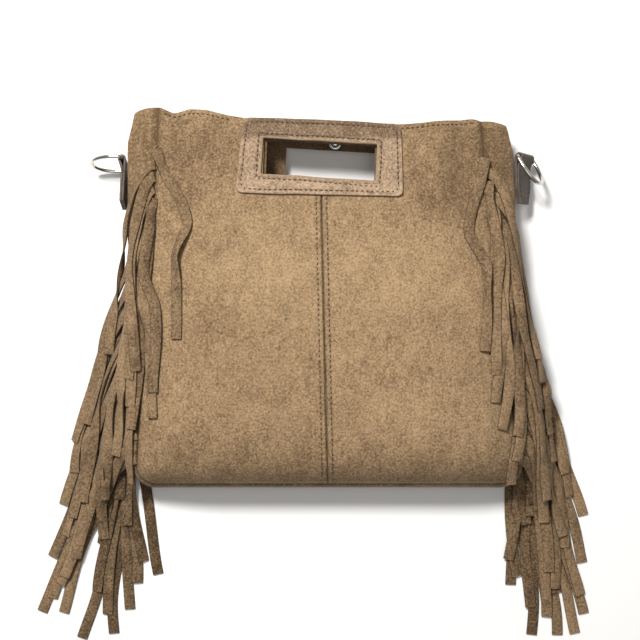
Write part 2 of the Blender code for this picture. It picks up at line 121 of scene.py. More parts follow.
def add_piece(name, points, faces, finish, body="bag", replaces=(), values=None, sharp=None):
    """One finished piece of the object, with its place in its mesh. Values are point attributes."""
    mesh = bpy.data.meshes.new(name)
    mesh.vertices.add(len(points))
    mesh.vertices.foreach_set("co", np.ascontiguousarray(points, np.float32).ravel())
    sides = faces.shape[1]
    mesh.loops.add(faces.size)
    mesh.loops.foreach_set("vertex_index", np.ascontiguousarray(faces, np.int32).ravel())
    mesh.polygons.add(len(faces))
    mesh.polygons.foreach_set("loop_start", np.arange(0, faces.size, sides, dtype=np.int32))
    mesh.update(calc_edges=True)
    mesh.validate()
    mesh.shade_smooth()
    if sharp:
        mesh.set_sharp_from_angle(angle=math.radians(sharp))
    for key, value in (values or {}).items():
        mesh.attributes.new(key, "FLOAT", "POINT").data.foreach_set("value", value.astype(np.float32))
    mesh.materials.append(finish)
    piece = bpy.data.objects.new(name, mesh)
    bpy.context.scene.collection.objects.link(piece)
    if replaces:
        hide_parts(*replaces)
    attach(piece, body)
    return piece


def thickened(points, quads, thickness):
    """A closed sheet: the outer face, the same face moved inwards along its normals, and a rim round
    every free edge. Points that no quad uses are dropped. It returns points, quads and the points kept."""
    used, index = np.unique(quads, return_inverse=True)
    points, quads = points[used], index.reshape(-1, 4)
    inner = points - vertex_normals(points, quads) * thickness
    edges = np.concatenate([quads[:, [k, (k + 1) % 4]] for k in range(4)])
    count = len(points)
    forward = edges[:, 0] * count + edges[:, 1]
    free = edges[~np.isin(forward, edges[:, 1] * count + edges[:, 0])]
    rim = stacked(free[:, 1], free[:, 0], free[:, 0] + count, free[:, 1] + count)
    return np.concatenate([points, inner]), np.concatenate([quads, quads[:, ::-1] + count, rim]), used


def hide_piece(name, points, quads, thickness, finish, tone):
    """A piece of hide in its node's place: its outer face as a grid of points, made a closed sheet."""
    solid, faces, used = thickened(points.reshape(-1, 3), quads, thickness)
    values = {"tone": np.tile(tone.ravel()[used], 2), "cut": np.zeros(2 * len(used))}
    add_piece(name, solid, faces, finish, replaces=[name], values=values, sharp=50)


def swept(line, across, up, profile):
    """A profile's points set at each point of a line, in the plane of its across and up directions."""
    return line[:, None] + across[:, None] * profile[None, :, :1] + up[:, None] * profile[None, :, 1:]


# -------- the slumped body's surfaces


def half_width(height):
    """Half the panel's width: a straight taper, less the rounding of the bottom corners."""
    taper = HALF_BOTTOM + (HALF_TOP - HALF_BOTTOM) * height / HEIGHT
    below = np.clip(CORNER_R - height, 0, CORNER_R)
    return taper - (CORNER_R - np.sqrt(CORNER_R**2 - below**2))


def crest_z(height):
    """Height of the front panel's middle: a flat zone at the mouth, a crest, then the roll to the base."""
    zone_z = MOUTH_Z + FRONT_FALL * (ZONE_FROM - HEIGHT)
    span = ZONE_FROM - CREST_AT
    t = np.clip((height - CREST_AT) / span, 0, 1)
    rise = CREST_Z + (zone_z - CREST_Z) * (3 * t**2 - 2 * t**3) + FRONT_FALL * span * (t**3 - t**2)
    zone = MOUTH_Z + FRONT_FALL * (height - HEIGHT)
    roll = np.clip((CREST_AT - height) / CREST_AT, 0, 1)
    fall = BASE_SEAM_Z + (CREST_Z - BASE_SEAM_Z) * np.sqrt(1 - roll**2.4)
    return np.where(height > ZONE_FROM, zone, np.where(height > CREST_AT, rise, fall))


def seam_z(height):
    """Height of the front side seams."""
    side = np.interp(height, (0.045, 0.10, 0.19, HEIGHT), (0.038, 0.038, 0.036, 0.033))
    share = (crest_z(height) - BASE_SEAM_Z) / (CREST_Z - BASE_SEAM_Z)
    return np.where(height > CREST_AT, side, BASE_SEAM_Z + 0.011 * share)


def front_z(share, height):
    """The front panel's outer face: flat across its middle, then a parabola down to its side seams."""
    out = np.clip((np.abs(share) - FLAT_SHARE) / (1 - FLAT_SHARE), 0, 1)
    return seam_z(height) + (crest_z(height) - seam_z(height)) * (1 - out**2)


def back_z(share, height):
    """The back panel's outer face: flat on the floor, lifting at its side seams and to the mouth."""
    edge = np.clip((np.abs(share) - 0.86) / 0.14, 0, 1)
    return BACK_EDGE_LIFT * edge**2 + BACK_LIFT * np.clip(height - BACK_LIFT_FROM, 0, None)


def mouth_offset(side):
    """How far the soft mouth edge stands above its straight line, along the panel's width."""
    at = (-0.135, -0.117, -0.1065, -0.096, -0.082, -0.066, -0.055,
          0.0, 0.053, 0.066, 0.083, 0.100, 0.112, 0.130)
    rise = (7.6, 7.4, 2.6, 6.8, 5.6, 2.4, 1.0, 0.4, -0.4, 0.6, 2.6, 4.6, 6.0, 2.2)
    fine = np.linspace(-0.14, 0.14, 281)
    curve = np.convolve(np.interp(fine, at, rise), np.hanning(9) / np.hanning(9).sum(), mode="same")
    return np.interp(side, fine, curve) / 1000


def placed(side, height, z_of, raised=True):
    """World points of a panel's face: its taper, the lean, the sloping wavy mouth, then its depth.
    Share is the side over the half width."""
    share = side / half_width(height)
    risen = height - MOUTH_SLOPE * side * (height / HEIGHT) ** 2
    y = risen + (mouth_offset(side) * smoothstep((height - 0.236) / 0.028) if raised else 0)
    x = side + LEAN * (height + BASE_Y)
    return stacked(x, y + BASE_Y, z_of(share, risen))


def rim_roll(side, height):
    """How far the front panel's rim turns down beside its seam."""
    return RIM_ROLL * smoothstep((np.abs(side) - half_width(height) + RIM_REACH) / RIM_REACH)

def front_slump(points, side, height):
    """The hide's own hollows and folds on the front panel, as a change of depth: broad slumps, soft
    folds that hang from the mouth, a sunk, stitched middle seam, and a rim that turns down."""
    flat = points[..., :2]
    clear = smoothstep((np.abs(side) - 0.060) / 0.03) + smoothstep((0.200 - height) / 0.03)
    clear = np.clip(clear, 0, 1)
    low = smoothstep(height / 0.03)
    depth = 0.0016 * waves(flat, 11, 0.13) + 0.0007 * waves(flat, 12, 0.050)
    folds = 0.0
    for at, lean, reach, deep in (
        (-0.098, 0.03, 0.011, 2.6), (-0.080, -0.12, 0.013, -1.6), (-0.066, 0.20, 0.012, 1.5),
        (0.070, -0.22, 0.013, 1.7), (0.086, 0.05, 0.012, -1.3), (0.102, 0.10, 0.010, 2.2),
    ):
        line = at + lean * (HEIGHT - height)
        folds = folds + deep * hump(side, line, reach) * smoothstep((height - 0.150) / 0.09)
    depth = depth - 0.001 * folds
    hem = 0.0007 * hump(height, 0.2605, 0.004) - 0.0005 * hump(height, 0.2555, 0.0022)
    middle = np.abs(side)
    below_patch = smoothstep((0.2115 - height) / 0.004)
    seam = 0.0005 * hump(middle, 0.0020, 0.0030) - 0.0012 * hump(middle, 0, 0.0014)
    seam = seam - 0.0005 * hump(middle, MIDDLE_ROW, 0.0013)
    return (depth * clear + hem * clear) * low + seam * below_patch * low - rim_roll(side, height)


def in_frame(points, back):
    """Points in a handle's own frame: its middle on the panel's outer face, third axis off the panel."""
    across, height = HANDLE_AT + (BACK_SHIFT if back else 0)
    if back:
        slope, z = BACK_LIFT, BACK_LIFT * (height - BACK_LIFT_FROM)
    else:
        slope, z = FRONT_FALL, MOUTH_Z + FRONT_FALL * (height - HEIGHT)
    turn = math.atan(slope)
    c, s = math.cos(turn), math.sin(turn)
    x, y, up = points[..., 0], points[..., 1], points[..., 2]
    if back:
        up = -up
    return stacked(across + x, height + BASE_Y + y * c - up * s, z + y * s + up * c)


def turned(x, y, angle):
    """A plane point turned about the origin."""
    c, s = math.cos(angle), math.sin(angle)
    return x * c - y * s, x * s + y * c


def panel_lines(back, fine):
    """Columns and rows of a panel's grid, with lines on the cut-out's own edges: side and height at
    each grid point, and which quads are inside the cut-out."""
    centre_side = BACK_SHIFT[0] if back else 0.0
    middle = HANDLE_AT[1] + (BACK_SHIFT[1] if back else 0.0)
    inner, outer = int(OPENING_HALF[0] / fine), int(0.085 / fine)
    u = np.concatenate([
        np.linspace(-1, 0, outer + 1)[:-1] - 1,
        np.linspace(-1, 1, 2 * inner + 1),
        2 - np.linspace(0, 1, outer + 1)[::-1][1:],
    ])
    low, high = middle - OPENING_HALF[1], middle + OPENING_HALF[1]
    rows = np.concatenate([
        CORNER_R * (1 - np.cos(np.linspace(0, math.pi / 2, 9)))[:-1],
        CORNER_R + (low - CORNER_R) * np.linspace(0, 1, int((low - CORNER_R) / fine))[:-1],
        np.linspace(low, high, int((high - low) / fine) + 1)[:-1],
        high + (HEIGHT - high) * np.linspace(0, 1, int((HEIGHT - high) / fine) + 4),
    ])
    u, height = np.meshgrid(u, rows)
    near = smoothstep(1 - np.maximum(np.abs(height - middle) - OPENING_HALF[1], 0) / 0.010)
    lean = -math.tan(OPENING_TILT) * (height - middle) * near
    hw = half_width(height)
    left, right = centre_side - OPENING_HALF[0] + lean, centre_side + OPENING_HALF[0] + lean
    side = np.where(u < -1, left + (u + 1) * (left + hw), np.where(u > 1, right + (u - 1) * (hw - right), 0))
    side = np.where(np.abs(u) <= 1, (left + right) / 2 + u * (right - left) / 2, side)
    extra = math.tan(OPENING_TILT) + MOUTH_SLOPE * (height / HEIGHT) ** 2
    away = smoothstep(1 - np.maximum(np.abs(side - centre_side) - OPENING_HALF[0], 0) / 0.045)
    shift = MOUTH_SLOPE * centre_side * (height / HEIGHT) ** 2
    height_bent = height + near * away * (extra * (side - centre_side) + shift)
    rows_in = (rows[:-1] >= low - 1e-9) & (rows[1:] <= high + 1e-9)
    columns_in = (u[0, :-1] >= -1 - 1e-9) & (u[0, 1:] <= 1 + 1e-9)
    return side, height_bent, rows_in[:, None] & columns_in[None, :]


# -------- finishes


def fill(tree, made, inputs):
    """Gives a shader node its inputs, as values or as sockets to link from."""
    for key, value in inputs.items():
        if isinstance(value, bpy.types.NodeSocket):
            tree.links.new(value, made.inputs[key])
        else:
            made.inputs[key].default_value = value

def node(tree, kind, inputs=None, **settings):
    """A shader node with its settings and its inputs."""
    made = tree.nodes.new(kind)
    for key, value in settings.items():
        setattr(made, key, value)
    fill(tree, made, inputs or {})
    return made

def object_place(tree):
    """Where a point lies in its piece's own space."""
    return node(tree, "ShaderNodeTexCoord").outputs["Object"]

def bumped(tree, height, strength, distance):
    """The normal that a height gives."""
    inputs = {"Height": height, "Strength": strength, "Distance": distance}
    return node(tree, "ShaderNodeBump", inputs).outputs[0]


def maths(tree, operation, a, b=0.0, c=0.0):
    """The result of a sum on up to three values."""
    return node(tree, "ShaderNodeMath", {0: a, 1: b, 2: c}, operation=operation).outputs[0]


def mixed(tree, factor, a, b):
    """A colour between a and b."""
    return node(tree, "ShaderNodeMix", {0: factor, 6: a, 7: b}, data_type="RGBA").outputs[2]


def noise(tree, where, scale, detail=2.0, rough=0.5, distortion=0.0):
    """Fractal noise from 0 to 1."""
    inputs = {"Vector": where, "Scale": scale, "Detail": detail, "Roughness": rough, "Distortion": distortion}
    return node(tree, "ShaderNodeTexNoise", inputs).outputs[0]


def grown(tree, value, low, high, to_low=0.0, to_high=1.0):
    """A value whose range from low to high is stretched to another range and held to it."""
    inputs = {"Value": value, "From Min": low, "From Max": high, "To Min": to_low, "To Max": to_high}
    return node(tree, "ShaderNodeMapRange", inputs).outputs[0]


def nap_group():
    """Suede's nap: broad brushed patches, short strokes and fine grain, as a colour between a dark and
    a light one, a roughness, and a height in metres."""
    tree = bpy.data.node_groups.new("suede_nap", "ShaderNodeTree")
    for way, name, kind in (
        ("INPUT", "Dark", "Color"), ("INPUT", "Light", "Color"), ("INPUT", "Tone", "Float"),
        ("OUTPUT", "Color", "Color"), ("OUTPUT", "Roughness", "Float"), ("OUTPUT", "Height", "Float"),
    ):
        tree.interface.new_socket(name, in_out=way, socket_type="NodeSocket" + kind)
    given = node(tree, "NodeGroupInput")
    where = object_place(tree)
    stroke_space = node(tree, "ShaderNodeMapping", {"Vector": where, "Scale": (1.0, 0.45, 1.0)}).outputs[0]
    broad = noise(tree, where, 13.0, 3.0, 0.55, 0.6)
    patches = noise(tree, where, 55.0, 4.0, 0.6, 0.9)
    strokes = noise(tree, stroke_space, 210.0, 3.0, 0.6, 0.4)
    grain = noise(tree, where, 620.0, 3.0, 0.7)
    fibre = noise(tree, where, 2100.0, 2.0, 0.6)
    total = given.outputs["Tone"]
    for layer, weight in ((broad, 0.20), (patches, 0.24), (strokes, 0.24), (grain, 0.95), (fibre, 0.70)):
        total = maths(tree, "MULTIPLY_ADD", grown(tree, layer, 0.30, 0.70, -0.5, 0.5), weight, total)
    share = grown(tree, total, -0.55, 0.55)
    colour = mixed(tree, share, given.outputs["Dark"], given.outputs["Light"])
    height = maths(tree, "MULTIPLY_ADD", grain, 0.00055, maths(tree, "MULTIPLY", fibre, 0.00018))
    height = maths(tree, "MULTIPLY_ADD", strokes, 0.00045, height)
    height = maths(tree, "MULTIPLY_ADD", patches, 0.0007, height)
    roughness = grown(tree, grain, 0.3, 0.7, 0.86, 1.0)
    node(tree, "NodeGroupOutput", {"Color": colour, "Roughness": roughness, "Height": height})
    return tree


def new_finish(name):
    """A material with its node tree and its Principled shader."""
    made = bpy.data.materials.new(name)
    made.use_nodes = True
    return made, made.node_tree, made.node_tree.nodes["Principled BSDF"]


def attribute(tree, name):
    """A value stored at each of the piece's points."""
    return node(tree, "ShaderNodeAttribute", attribute_name=name).outputs["Fac"]


def suede(name, dark, light, cut, sheen=0.25):
    """Napped hide. The point attribute tone brightens or darkens it, with random tone and, where a piece sets
    it so, painted light and shade; cut colours its raw edges.
    """
    made, tree, shader = new_finish(name)
    inputs = {"Dark": (*dark, 1), "Light": (*light, 1), "Tone": attribute(tree, "tone")}
    nap = node(tree, "ShaderNodeGroup", inputs, node_tree=NAP)
    fill(tree, shader, {
        "Base Color": mixed(tree, attribute(tree, "cut"), nap.outputs["Color"], (*cut, 1)),
        "Roughness": nap.outputs["Roughness"],
        "Normal": bumped(tree, nap.outputs["Height"], 0.9, 1.0),
        "Specular IOR Level": 0.12,
        "Sheen Weight": sheen,
        "Sheen Roughness": 0.45,
        "Sheen Tint": (0.95, 0.80, 0.62, 1),
    })
    return made


def smooth_leather():
    """Dark, nearly matt pebbled leather, for the strap tabs."""
    made, tree, shader = new_finish("tab_leather")
    where = object_place(tree)
    inputs = {"Vector": where, "Scale": 900.0, "Randomness": 0.9}
    pebbles = node(tree, "ShaderNodeTexVoronoi", inputs, feature="SMOOTH_F1").outputs["Distance"]
    blotches = noise(tree, where, 120.0, 4.0, 0.6)
    colour = mixed(tree, grown(tree, blotches, 0.3, 0.7), (0.036, 0.024, 0.017, 1), (0.120, 0.088, 0.066, 1))
    roughness = grown(tree, blotches, 0.3, 0.7, 0.50, 0.72)
    normal = bumped(tree, pebbles, 0.5, 0.00025)
    fill(tree, shader, {"Base Color": colour, "Roughness": roughness, "Normal": normal})
    return made


def nickel():
    """Polished nickel with faint wear."""
    made, tree, shader = new_finish("nickel")
    where = object_place(tree)
    smudges = noise(tree, where, 260.0, 4.0, 0.6)
    roughness = grown(tree, smudges, 0.35, 0.7, 0.10, 0.24)
    colour = mixed(tree, grown(tree, smudges, 0.4, 0.8), (0.66, 0.64, 0.60, 1), (0.50, 0.48, 0.43, 1))
    fill(tree, shader, {"Base Color": colour, "Roughness": roughness, "Metallic": 1.0})
    return made


def woven():
    """Plain cotton: two crossed sets of fine ribs."""
    made, tree, shader = new_finish("lining_cloth")
    where = object_place(tree)
    inputs = {"Vector": where, "Scale": 1800.0}
    across = node(tree, "ShaderNodeTexWave", inputs, bands_direction="X").outputs["Fac"]
    along = node(tree, "ShaderNodeTexWave", inputs, bands_direction="Y").outputs["Fac"]
    weave = maths(tree, "MAXIMUM", across, along)
    colour = mixed(tree, weave, (0.16, 0.13, 0.10, 1), (0.30, 0.26, 0.21, 1))
    normal = bumped(tree, weave, 0.4, 0.0002)
    fill(tree, shader, {"Base Color": colour, "Normal": normal, "Roughness": 0.95})
    return made


def thread():
    """Waxed thread, much darker than the hide, with the fleck of its twist."""
    made, tree, shader = new_finish("thread")
    where = object_place(tree)
    fleck = noise(tree, where, 1500.0, 2.0)
    colour = mixed(tree, grown(tree, fleck, 0.3, 0.7), (0.022, 0.013, 0.007, 1), (0.075, 0.048, 0.027, 1))
    fill(tree, shader, {"Base Color": colour, "Roughness": 0.75})
    return made


NAP = nap_group()
SUEDE = suede("suede", (0.105, 0.065, 0.033), (0.430, 0.290, 0.163), (0.15, 0.095, 0.054))
PATCH = suede("patch_suede", (0.130, 0.084, 0.051), (0.500, 0.358, 0.238), (0.30, 0.21, 0.135))
INNER = suede("inner_suede", (0.070, 0.042, 0.022), (0.210, 0.138, 0.078), (0.11, 0.07, 0.04))
FRINGE = suede("fringe_suede", (0.062, 0.038, 0.020), (0.330, 0.220, 0.125), (0.026, 0.016, 0.009), sheen=0.1)
TAB, NICKEL, COTTON, THREAD = smooth_leather(), nickel(), woven(), thread()


# -------- panels


def blot(points, centre, reach, amount):
    """A soft round change of tone."""
    return amount * np.exp(-(((points[..., :2] - np.array(centre)) / np.array(reach)) ** 2).sum(-1))


def panel_tone_and_painted_light(points):
    """The panel's tone: darker round the mouth's corners, painted light over the middle and the crest,
    painted shade along the roll into the base, and a faint random ripple.
    """
    tone = np.full(points.shape[:-1], 0.0)
    for centre, reach, amount in (
        ((0.104, 0.148), (0.034, 0.034), -0.30), ((0.080, 0.118), (0.026, 0.020), -0.17),
        ((-0.105, 0.150), (0.036, 0.034), -0.24), ((-0.06, 0.155), (0.03, 0.018), -0.14),
        # Lighter over the middle of the panel and its crest: painted light.
        ((0.0, 0.035), (0.070, 0.045), 0.12), ((0.075, 0.065), (0.040, 0.035), 0.15),
        ((-0.055, 0.070), (0.035, 0.030), 0.10), ((-0.075, 0.02), (0.02, 0.02), -0.07),
        ((-0.07, -0.030), (0.050, 0.022), 0.09), ((0.055, -0.040), (0.060, 0.020), 0.11),
        # Darker along the roll into the base: painted shade.
        ((0.0, -0.088), (0.300, 0.024), -0.22),
    ):
        tone = tone + blot(points, centre, reach, amount)
    return tone + 0.07 * waves(points[..., :2], 31, 0.030)


def front_point(side, height):
    """The front panel's outer face with its slump."""
    points = placed(side, height, front_z)
    points[..., 2] += front_slump(points, side, height)
    return points


def front_panels():
    """Two halves that meet at the middle seam, each one hide."""
    side, height, hole = panel_lines(False, 0.0013)
    middle = side.shape[1] // 2
    for name, part, sign in (
        ("front_panel_left", slice(None, middle + 1), -1),
        ("front_panel_right", slice(middle, None), 1),
    ):
        s, h = side[:, part].copy(), height[:, part]
        cut_out = hole[:, middle:] if sign > 0 else hole[:, :middle]
        s[:, 0 if sign > 0 else -1] += sign * SEAM_GAP
        points = front_point(s, h)
        quads = grid_quads(*s.shape)[~cut_out.ravel()]
        middle_seam = 0.55 * hump(np.abs(s), 0, 0.0016) + 0.22 * hump(np.abs(s), MIDDLE_ROW, 0.0015)
        rim = np.abs(s) - half_width(h)
        side_seam = 0.20 * smoothstep((rim + 0.004) / 0.003) + 0.9 * smoothstep((rim + 0.0014) / 0.0012)
        tone = panel_tone_and_painted_light(points) - middle_seam - side_seam
        hide_piece(name, points, quads, HIDE, SUEDE, tone)


def back_panel():
    """The back in one piece, flat where it rests."""
    side, height, hole = panel_lines(True, 0.0026)
    points = placed(side, height, back_z)
    lift = smoothstep((height - 0.200) / 0.05) * 0.0010 * (1 + waves(points[..., :2], 41, 0.06))
    points[..., 2] += lift
    quads = grid_quads(*side.shape)[~hole.ravel()][:, ::-1]
    hide_piece("back_panel", points, quads, HIDE, SUEDE, panel_tone_and_painted_light(points) - 0.05)


def facing(name, back):
    """The band of hide inside the mouth, which follows its panel at the depth of the hidden washers."""
    side, height, hole = panel_lines(back, 0.0022)
    keep = height[:, 0] > 0.185
    side, height, hole = side[keep], height[keep], hole[keep[:-1]][: keep.sum() - 1]
    side = side * (half_width(height) - 0.006) / half_width(height) if back else side * 0.95
    points = placed(side, height - 0.0006, back_z if back else front_z)
    points[..., 2] += FACING_DEPTH if back else -FACING_DEPTH
    quads = grid_quads(*side.shape)[~hole.ravel()]
    quads = quads[:, ::-1] if back else quads
    hide_piece(name, points, quads, FACING_HIDE, INNER, np.full(side.shape, -0.02))


# -------- gussets and base


def boxing_bulge(share, height):
    """How far the boxing stands out between its two seams."""
    side = np.interp(height, (0.0, 0.10, 0.19, 0.245, HEIGHT), (0.004, 0.009, 0.020, 0.0225, 0.019))
    return np.where(np.abs(share) < 1, 0.004, side)


def boxing():
    """The boxing in three pieces: strips bowed outwards as a parabola between the two seams, with the
    slack of soft hide as shallow folds down each gusset, and a rolled edge at each seam. The front edge is
    tucked in under the panel's, so that the seam is shut."""
    down = np.linspace(HEIGHT, CORNER_R, 190)[:-1]
    corner = CORNER_R * (1 - np.cos(np.linspace(math.pi / 2, 0, 12)))
    edge = np.concatenate([down, corner])
    across = np.linspace(-1, 1, 150)[1:-1]
    share = np.concatenate([-np.ones(len(edge)), across, np.ones(len(edge))])
    height = np.concatenate([edge, np.zeros(len(across)), edge[::-1]])
    side = share * half_width(height)
    front, back = placed(side, height, front_z), placed(side, height, back_z)
    plan = unit(np.gradient(placed(side, height, front_z, raised=False)[:, :2], axis=0))
    out = stacked(plan[:, 1], -plan[:, 0], np.zeros(len(share)))
    front += out * SEAM_GAP
    front[:, 2] += front_slump(front, side, height) + rim_roll(side, height) - FRONT_SEAM_DROP
    back += out * SEAM_GAP
    back[:, 2] += HIDE + 0.0003
    a = np.linspace(0, 1, 34)[None, :]
    bow = boxing_bulge(share, height)[:, None] * 4 * a * (1 - a)
    points = front[:, None] * (1 - a[..., None]) + back[:, None] * a[..., None]
    points += out[:, None] * bow[..., None]
    rise = 4 * a * (1 - a)
    fold = np.interp(height, (0.0, 0.08, 0.20, HEIGHT), (0.1, 0.5, 1.6, 2.2))[:, None] / 1000
    spread = stacked(points[..., 1] * 0.35, points[..., 2], np.sign(points[..., 0]))
    slack = waves(spread, 51, 0.016)
    points += out[:, None] * (fold * rise * slack)[..., None]
    points[..., 2] += 0.0014 * smoothstep(a / 0.12) * (1 - a)
    points -= out[:, None] * (0.0012 * (1 - smoothstep(a / 0.03)))[..., None]
    points[..., 1] -= 0.0045 * rise**2 * smoothstep((height - 0.238) / 0.028)[:, None]
    tone = panel_tone_and_painted_light(points) - 0.10 - 0.5 * (1 - smoothstep(a / 0.05))
    foot, end = 178, len(share) - 1
    for name, first, last in (
        ("gusset_left", 0, foot), ("base_panel", foot, end - foot), ("gusset_right", end - foot, end),
    ):
        part = points[first : last + 1].copy()
        if first > 0:
            part[0] += (part[1] - part[0]) * 0.1
        if last < end:
            part[-1] += (part[-2] - part[-1]) * 0.1
        hide_piece(name, part, grid_quads(*part.shape[:2]), HIDE, SUEDE, tone[first : last + 1])
    return points


# -------- stitched patches


def rounded_outline(half, radius, per_side, per_corner=9):
    """A rectangle's outline with round corners, counter-clockwise from the right side's foot."""
    points = []
    for quarter in range(4):
        angle = quarter * math.pi / 2
        out, run = (half[0], half[1]) if quarter % 2 == 0 else (half[1], half[0])
        straight = np.linspace(-run + radius, run - radius, per_side)
        x, y = turned(np.full(per_side, out), straight, angle)
        points.append(stacked(x, y))
        arc = np.linspace(0, math.pi / 2, per_corner + 2)[1:-1]
        x, y = turned(out - radius + radius * np.cos(arc), run - radius + radius * np.sin(arc), angle)
        points.append(stacked(x, y))
    return np.concatenate(points)


def patch_outlines(per_side, inset=0.0, outset=0.0):
    """The patch's outer outline and its cut-out's, each with its own tilt and a hand-cut wobble."""
    outer = rounded_outline((PATCH_HALF[0] - inset, PATCH_HALF[1] - inset), 0.005, per_side)
    inner = rounded_outline((OPENING_HALF[0] + outset, OPENING_HALF[1] + outset), 0.0012, per_side)
    outer = np.stack(turned(outer[:, 0], outer[:, 1], PATCH_TILT), axis=-1)
    inner = np.stack(turned(inner[:, 0], inner[:, 1], OPENING_TILT), axis=-1)
    outer += 0.0005 * stacked(waves(outer, 61, 0.05), waves(outer, 62, 0.04))
    inner += 0.0004 * stacked(waves(inner, 63, 0.03), waves(inner, 64, 0.025))
    outer[:, 0] *= 1.008 - 0.032 * outer[:, 1] / PATCH_HALF[1]
    outer[:, 1] += np.where(outer[:, 1] > 0, 0.0034, -0.0012 + 0.02 * outer[:, 0])
    outer[:, 1] += 0.0008 * hump(outer[:, 0], 0.004, 0.05) * (outer[:, 1] > 0)
    inner[:, 0] -= 0.0010
    inner[:, 1] -= 0.0012 * smoothstep((inner[:, 0] + 0.02) / 0.06) * (inner[:, 1] < 0)
    return outer, inner


def patch_height(plane):
    """The patch's top above the panel: it arches a little over the seams beneath it."""
    return 0.0002 * waves(plane, 65, 0.05) + 0.0003 * hump(plane[..., 0], 0.0, 0.012)


def patch(name, back):
    """The stitched frame round a cut-out: a profile across its band, carried round its outline."""
    outer, inner = patch_outlines(70)
    t = np.linspace(0, 1, 30)
    band = np.concatenate([[0.0, 0.0, 0.0], t * 0.96 + 0.02, [1.0, 1.0, 1.0], [0.66, 0.33]])
    lift = PATCH_THICK * np.concatenate([[0.0, 0.5, 0.82], np.ones(30), [0.82, 0.5, 0.0], [0.0, 0.0]])
    plane = inner[:, None] * (1 - band[None, :, None]) + outer[:, None] * band[None, :, None]
    from_outer = np.linalg.norm(plane - outer[:, None], axis=-1)
    from_inner = np.linalg.norm(plane - inner[:, None], axis=-1)
    top = lift > 0.9 * PATCH_THICK
    groove = hump(from_outer, OUTER_ROW, 0.0013) + hump(from_inner, INNER_ROW, 0.0013)
    puff = hump(from_outer, 0.0012, 0.0016) + hump(from_inner, 0.0012, 0.0016)
    z = 0.0003 + lift[None, :] + top * (patch_height(plane) - 0.00035 * groove + 0.00012 * puff)
    points = in_frame(np.concatenate([plane, z[..., None]], axis=-1), back)
    quads = grid_quads(*plane.shape[:2], wrap_rows=True, wrap_columns=True)
    # Painted shade: the top bar much darker and the stitch grooves darker; painted light: the bottom bar a
    # little lighter.
    bar = smoothstep((plane[..., 1] - 0.014) / 0.004)
    tone = -0.02 - 0.36 * bar - 0.22 * groove * top + 0.10 * smoothstep((-plane[..., 1] - 0.014) / 0.004)
    raw = np.where(top, 0.75 * (from_inner < 0.0012), 0.8)
    values = {"tone": tone.ravel(), "cut": np.broadcast_to(raw, tone.shape).ravel()}
    add_piece(name, points.reshape(-1, 3), quads if back else quads[:, ::-1], PATCH,
              replaces=[name], values=values, sharp=60)


# -------- stitches


def along(line, pitch):
    """Even places along a line: where each is, and the line's direction there."""
    steps = np.linalg.norm(np.diff(line, axis=0), axis=1)
    at = np.concatenate([[0], np.cumsum(steps)])
    places = np.arange(0.5 * pitch, at[-1] - 0.3 * pitch, pitch)
    spot, ahead, behind = (
        stacked(*[np.interp(places + nudge, at, line[:, k]) for k in range(3)])
        for nudge in (0, 0.0008, -0.0008)
    )
    return spot, unit(ahead - behind)


def stitches(name, rows, length=0.0026, radius=0.00046):
    """Rows of stitches as one piece. Each is a short bowed thread whose ends dip into the hide:
    rings of radius r*sqrt(sin) along it, arched as a half sine. A row is a line and its normals."""
    t = np.linspace(0.02, 0.98, 7)
    turn = np.linspace(0, 2 * math.pi, 7)[:-1]
    ring = radius * np.sqrt(np.sin(math.pi * t))
    base = np.stack([
        np.broadcast_to(((t - 0.5) * length)[:, None], (7, 6)),
        ring[:, None] * np.cos(turn)[None],
        ring[:, None] * np.sin(turn)[None] + (0.00042 * np.sin(math.pi * t) - 0.00018)[:, None],
    ], axis=-1).reshape(-1, 3)
    side_quads = grid_quads(7, 6, wrap_columns=True)
    caps = np.array([[0, 1, 2, 3], [0, 3, 4, 5], [39, 38, 37, 36], [41, 40, 39, 36]])
    quads = np.concatenate([side_quads[:, ::-1], caps[:, ::-1]])
    points, faces = [], []
    rng = np.random.default_rng(71)
    for line, normals in rows:
        spot, forward = along(line, STITCH_PITCH)
        at = np.linspace(0, 1, len(line))
        place = np.linspace(0, 1, len(spot))
        up = unit(stacked(*[np.interp(place, at, normals[:, k]) for k in range(3)]))
        skew = rng.normal(0, 0.07, len(spot))[:, None]
        forward = unit(forward + np.cross(up, forward) * skew)
        side = np.cross(up, forward)
        made = spot[:, None] + forward[:, None] * base[None, :, :1]
        made = made + side[:, None] * base[None, :, 1:2] + up[:, None] * base[None, :, 2:]
        start = sum(len(p) for p in points)
        points.append(made.reshape(-1, 3))
        faces.append((quads[None] + start + (np.arange(len(spot)) * len(base))[:, None, None]).reshape(-1, 4))
    add_piece(name, np.concatenate(points), np.concatenate(faces), THREAD)


def surface_row(point_of, side, height):
    """A row on a panel: its points and the surface's normals, by finite differences."""
    step = 0.0008
    here = point_of(side, height)
    normal = unit(np.cross(point_of(side + step, height) - here, point_of(side, height + step) - here))
    return here, normal


def patch_row(outside, back):
    """A closed row on a patch: inset from its outer outline, or outset from its cut-out."""
    outer, inner = patch_outlines(70, inset=OUTER_ROW, outset=INNER_ROW)
    plane = outer if outside else inner
    plane = np.concatenate([plane, plane[:1]])
    up = PATCH_THICK + patch_height(plane)
    line = in_frame(np.concatenate([plane, up[:, None]], axis=-1), back)
    above = in_frame(np.concatenate([plane, up[:, None] + 0.001], axis=-1), back)
    return line, unit(above - line)


